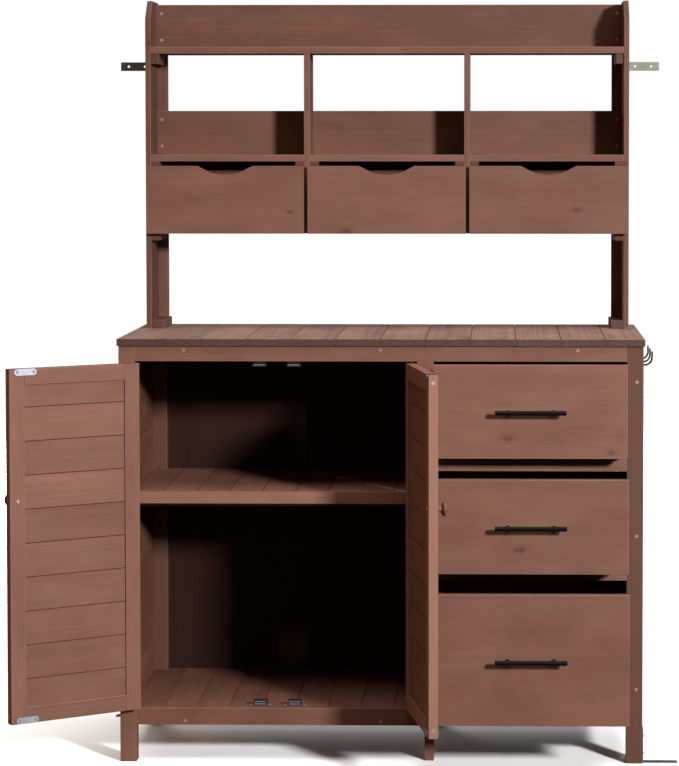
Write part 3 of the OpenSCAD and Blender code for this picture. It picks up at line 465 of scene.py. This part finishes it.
def black_metal():
    """Satin black lacquer with a faint orange-peel surface."""
    material, t, shader = new_material("black_metal")
    place = t.object_place()
    peel = t.noise(place, 900.0, 2.0)
    cloud = t.noise(place, 60.0, 2.0)
    t.link(t.mix(cloud, colour(6, 5, 5), colour(12, 10, 9)), shader.inputs["Base Color"])
    t.link(t.spread(cloud, 0.3, 0.7, 0.32, 0.44), shader.inputs["Roughness"])
    t.link(t.bump(peel, 0.12, 0.0002), shader.inputs["Normal"])
    shader.inputs["Specular IOR Level"].default_value = 0.06
    return material


def plated_metal(name, screw, sheet, roughness, scratch_scale):
    """Plated metal with clouds and fine scratches. Screws and pins have a colour of their own
    and are less metallic than pressed sheet."""
    material, t, shader = new_material(name)
    place = t.object_place()
    flat = t.attribute("flat")
    cloud = t.noise(place, 45.0, 3.0, 0.6)
    scratch = t.noise(t.scaled(place, (0.15, 0.15, 1.0)), scratch_scale, 3.0, 0.65)
    base = t.mix(flat, screw, sheet)
    shade = t.mix(t.spread(cloud, 0.35, 0.65), (0.82, 0.82, 0.8, 1), (1.0, 1.0, 1.0, 1))
    t.link(t.mix(1.0, base, shade, "MULTIPLY"), shader.inputs["Base Color"])
    t.link(t.spread(scratch, 0.3, 0.7, *roughness), shader.inputs["Roughness"])
    t.link(t.bump(scratch, 0.1, 0.0001), shader.inputs["Normal"])
    t.link(t.spread(flat, 0.0, 1.0, SCREW_METALLIC, 1.0), shader.inputs["Metallic"])
    return material


def catch_plastic():
    """Nearly black moulded plastic with a fine texture."""
    material, t, shader = new_material("catch_plastic")
    place = t.object_place()
    grain = t.noise(place, 1400.0, 2.0)
    cloud = t.noise(place, 80.0, 2.0)
    t.link(t.mix(cloud, colour(20, 14, 12), colour(30, 22, 18)), shader.inputs["Base Color"])
    t.link(t.spread(cloud, 0.3, 0.7, 0.38, 0.5), shader.inputs["Roughness"])
    t.link(t.bump(grain, 0.2, 0.0001), shader.inputs["Normal"])
    return material


def floor_paint():
    """A plain pale studio floor."""
    material, t, shader = new_material("studio_floor")
    cloud = t.noise(t.object_place(), 1.5, 2.0)
    paint = t.mix(cloud, (0.96, 0.96, 0.96, 1), (0.99, 0.99, 0.99, 1))
    t.link(paint, shader.inputs["Base Color"])
    shader.inputs["Roughness"].default_value = 0.9
    shader.inputs["Specular IOR Level"].default_value = 0.1
    return material


# ---------- Meshes ----------

def closed_place(body):
    """The matrix that takes a door's points from rest to its shut place, so that its boards lie
    along the axes. It is the identity for a body without a hinge."""
    for joint in frame["joints"]:
        if joint["child"] == body and joint["type"] == "hinge":
            at = Matrix.Translation(Vector(joint["pos_m"]))
            angle = math.radians(joint["range_deg"][0])
            return at @ Matrix.Rotation(angle, 4, Vector(joint["axis"])) @ at.inverted()
    return Matrix.Identity(4)


def islands(bm):
    """The separate boards or pieces of a mesh, each as a list of vertices."""
    seen = set()
    for start in bm.verts:
        if start in seen:
            continue
        seen.add(start)
        stack, found = [start], []
        while stack:
            v = stack.pop()
            found.append(v)
            for e in v.link_edges:
                other = e.other_vert(v)
                if other not in seen:
                    seen.add(other)
                    stack.append(other)
        yield found


def faces_of(verts):
    return {face for v in verts for face in v.link_faces}


def join_triangles(bm):
    """Turns the CAD mesh's triangles into whole flat faces."""
    bmesh.ops.remove_doubles(bm, verts=bm.verts, dist=SAME_POINT * MM)
    bmesh.ops.dissolve_limit(bm, angle_limit=math.radians(SAME_PLANE), verts=bm.verts,
                             edges=bm.edges)


def ease_edges(bm, radius, shortest):
    """Rounds the outer edges that are longer than shortest, and marks the new faces, which the
    wood draws lighter as wear and as a painted highlight.
    """
    wear_and_highlight = bm.faces.layers.float.new("wear_and_highlight")
    outer = [
        e for e in bm.edges
        if e.is_manifold and e.is_convex and e.calc_length() > shortest
        and e.calc_face_angle(0) > math.radians(EASED_ANGLE)
    ]
    made = bmesh.ops.bevel(bm, geom=outer, offset=radius, segments=2, profile=0.5,
                           affect="EDGES", clamp_overlap=True)
    for face in made["faces"]:
        face[wear_and_highlight] = 1.0


def mark_ends(bm, verts, turn, order, pooled):
    """Marks a board's faces across the grain as ends. Where pooled is true, it also marks the
    chamfers beside the seams, where stain collects."""
    end = bm.faces.layers.float["end"]
    pool = bm.faces.layers.float["pool"]
    along, across, through = order
    low, high = CHAMFER_FACING
    for face in faces_of(verts):
        normal = turn @ face.normal
        face[end] = 1.0 if abs(normal[along]) > END_FACING else 0.0
        sloping = all(low < abs(normal[k]) < high for k in (across, through))
        face[pool] = 1.0 if sloping and pooled else 0.0


def mark_boards(bm, node, shut, pooled):
    """Writes each board's own coordinates: along the grain, across it, and through it, plus a
    random place in the tree and a tone: a random spread plus the node's entry in the tones
    table, which brings painted shade and painted light for some nodes. Thin or wide pieces are
    marked as flat, which the metals use."""
    place = bm.verts.layers.float_vector.new("grain")
    tone_and_painted_light = bm.verts.layers.float.new("tone_and_painted_light")
    flat = bm.verts.layers.float.new("flat")
    bm.faces.layers.float.new("end")
    bm.faces.layers.float.new("pool")
    for count, verts in enumerate(islands(bm)):
        luck = random.Random(f"{node} {count}")
        points = [shut @ v.co for v in verts]
        low = Vector(min(p[k] for p in points) for k in range(3))
        high = Vector(max(p[k] for p in points) for k in range(3))
        order = sorted(range(3), key=lambda k: low[k] - high[k])
        middle = (low + high) / 2
        pith = (luck.uniform(-PITH_ALONG, PITH_ALONG), luck.uniform(-PITH_ASIDE, PITH_ASIDE),
                luck.uniform(*PITH_DEPTH))
        # The node's entry adds painted shade or painted light for some nodes
        shade = luck.uniform(-BOARD_SPREAD, BOARD_SPREAD) + NODE_TONES_AND_PAINTED_LIGHT.get(node, 0.0)
        thinnest, width, _ = sorted(high - low)
        sheet = thinnest < SHEET_T * MM or width > SCREW_HEAD_W * MM
        for v, p in zip(verts, points):
            own = [p[k] - middle[k] for k in order]
            v[place] = Vector(a + b for a, b in zip(own, pith))
            v[tone_and_painted_light] = shade
            v[flat] = 1.0 if sheet else 0.0
        mark_ends(bm, verts, shut.to_3x3(), order, pooled)


def smooth_shading(bm):
    """Shades all faces smoothly, except across crisp edges."""
    for face in bm.faces:
        face.smooth = True
        face.material_index = 0
    for edge in bm.edges:
        crisp = edge.is_manifold and edge.calc_face_angle(0) > math.radians(CRISP_ANGLE)
        edge.smooth = not crisp


def dress(node, material, radius, shortest=WOOD_SHORTEST):
    """Shows a CAD node by a copy of its mesh with eased edges and its material."""
    mesh = frame["nodes"][node].data.copy()
    mesh.name = f"{node}_mesh"
    bm = bmesh.new()
    bm.from_mesh(mesh)
    join_triangles(bm)
    ease_edges(bm, radius * MM, shortest * MM)
    mark_boards(bm, node, closed_place(BODY_OF[node]), radius <= TONGUED_EDGE)
    smooth_shading(bm)
    bm.to_mesh(mesh)
    bm.free()
    mesh.materials.clear()
    mesh.materials.append(material)
    piece = bpy.data.objects.new(f"{node}_finished", mesh)
    bpy.context.scene.collection.objects.link(piece)
    normals = piece.modifiers.new("normals", "WEIGHTED_NORMAL")
    normals.keep_sharp = True
    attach(piece, BODY_OF[node])
    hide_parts(node)
    return piece


def house_catches(piece, plastic):
    """Gives the catches' cases the plastic, and leaves their base plates and magnets steel. The
    base plates are the lowest and the highest things in the piece."""
    mesh = piece.data
    mesh.materials.append(plastic)
    bm = bmesh.new()
    bm.from_mesh(mesh)
    low = min(v.co.z for v in bm.verts) + CATCH_PLATE * MM
    high = max(v.co.z for v in bm.verts) - CATCH_PLATE * MM
    for verts in islands(bm):
        depth = max(v.co.y for v in verts) - min(v.co.y for v in verts)
        if depth < CATCH_CASE * MM:
            continue
        for face in faces_of(verts):
            if low < face.calc_center_median().z < high:
                face.material_index = 1
    bm.to_mesh(mesh)
    bm.free()


# ---------- The bench ----------

def make_woodwork():
    pine = frame_pine()
    for node in PLAIN_NODES:
        dress(node, pine, PLAIN_EDGE)
    for node in TONGUED_NODES:
        dress(node, pine, TONGUED_EDGE)
    dress("table_boards", table_pine(), TONGUED_EDGE)
    # The back panels carry painted shade for the inside of the cabinet
    dress("back_panels", stained_plywood(), TONGUED_EDGE)
    turned = turned_wood()
    for node in KNOBS:
        dress(node, turned, TONGUED_EDGE)


def make_hardware():
    steel = plated_metal("steel", colour(150, 121, 107), colour(150, 158, 168), (0.4, 0.55),
                         900.0)
    zinc = plated_metal("yellow_zinc", colour(120, 112, 84), colour(112, 111, 100),
                        (0.42, 0.58), 700.0)
    black = black_metal()
    for node in STEEL_NODES:
        dress(node, steel, METAL_EDGE, METAL_SHORTEST)
    catches = dress("door_catches", steel, METAL_EDGE, METAL_SHORTEST)
    house_catches(catches, catch_plastic())
    for node in BRACKETS:
        dress(node, zinc, METAL_EDGE, METAL_SHORTEST)
    for node in HANDLES:
        dress(node, black, HANDLE_EDGE, BAR_SHORTEST)
    dress("side_hooks", black, HOOK_EDGE, BAR_SHORTEST)


# ---------- Studio ----------

def make_floor():
    """A floor that reaches the horizon. It takes shadows but throws no light back at the
    bench."""
    bpy.ops.mesh.primitive_plane_add(size=FLOOR_SIZE, location=(0, 0, CAD_BOX[0].z))
    floor = bpy.context.object
    floor.name = "studio_floor"
    floor.data.materials.append(floor_paint())
    floor.visible_diffuse = False
    floor.visible_glossy = False


def make_world():
    """White behind the object. For all but the camera it is a low fill light, as warm as the
    wood around it, and a brighter, greyer one in reflections."""
    world = bpy.data.worlds.new("studio")
    bpy.context.scene.world = world
    world.use_nodes = True
    t = Tree(world.node_tree)
    background = world.node_tree.nodes["Background"]
    path = t.add("ShaderNodeLightPath")
    fill = t.mix(path.outputs["Is Glossy Ray"], FILL_LIGHT, GLOSS_LIGHT)
    sky = t.mix(path.outputs["Is Camera Ray"], fill, (*WHITE, 1))
    t.link(sky, background.inputs["Color"])
    background.inputs["Strength"].default_value = 1.0


def aim(obj, target):
    """Turns a light to look at a point."""
    obj.rotation_euler = (Vector(target) - obj.location).to_track_quat("-Z", "Y").to_euler()


def light_way(azimuth, height):
    """The way to a light: azimuth to the right of straight in front, height above level."""
    azimuth, height = math.radians(azimuth), math.radians(height)
    return Vector((math.sin(azimuth) * math.cos(height), -math.cos(azimuth) * math.cos(height),
                   math.sin(height)))


def area_light(name, way, distance, size, power, tint=WHITE):
    """A square studio light that looks at the bench's middle."""
    middle = Vector((0, 0, (CAD_BOX[0].z + CAD_BOX[1].z) / 2))
    data = bpy.data.lights.new(name, "AREA")
    data.shape = "SQUARE"
    data.size = size
    data.energy = power
    data.color = tint
    light = bpy.data.objects.new(name, data)
    bpy.context.scene.collection.objects.link(light)
    light.location = middle + light_way(*way) * distance
    aim(light, middle)
    return light


def make_lights():
    """A key light from the right, its warm return from the left, a weaker light behind that
    makes no shine on the table, and a soft light overhead."""
    area_light("key", KEY_WAY, KEY_DISTANCE, KEY_SIZE, KEY_POWER)
    area_light("bounce", BOUNCE_WAY, BOUNCE_DISTANCE, BOUNCE_SIZE, BOUNCE_POWER, BOUNCE_TINT)
    rear = area_light("rear", REAR_WAY, REAR_DISTANCE, REAR_SIZE, REAR_POWER)
    rear.visible_glossy = False
    data = bpy.data.lights.new("overhead", "SUN")
    data.energy = OVERHEAD_POWER
    data.angle = math.radians(OVERHEAD_SPREAD)
    overhead = bpy.data.objects.new("overhead", data)
    bpy.context.scene.collection.objects.link(overhead)
    overhead.location = OVERHEAD_PLACE
    aim(overhead, (0, 0, CAD_BOX[1].z / 2))


def make_camera():
    """The photograph's place: just above the hutch's middle shelf and a little right of the
    bench's middle. A small turn and a small shift of the lens share the framing."""
    data = bpy.data.cameras.new("camera")
    camera = bpy.data.objects.new("camera", data)
    bpy.context.scene.collection.objects.link(camera)
    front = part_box("top_front_rail")[0][1]
    camera.location = (CAMERA_RIGHT, front - CAMERA_DISTANCE, CAMERA_UP)
    camera.rotation_euler = (math.radians(90 - CAMERA_DOWN), 0, math.radians(CAMERA_LEFT))
    data.lens = CAMERA_LENS
    data.sensor_width = CAMERA_SENSOR
    data.shift_x = CAMERA_SHIFT[0]
    data.shift_y = CAMERA_SHIFT[1]
    data.clip_end = FLOOR_SIZE
    bpy.context.scene.camera = camera


make_woodwork()
make_hardware()
make_floor()
make_world()
make_lights()
make_camera()
bpy.context.scene.view_settings.view_transform = "Standard"
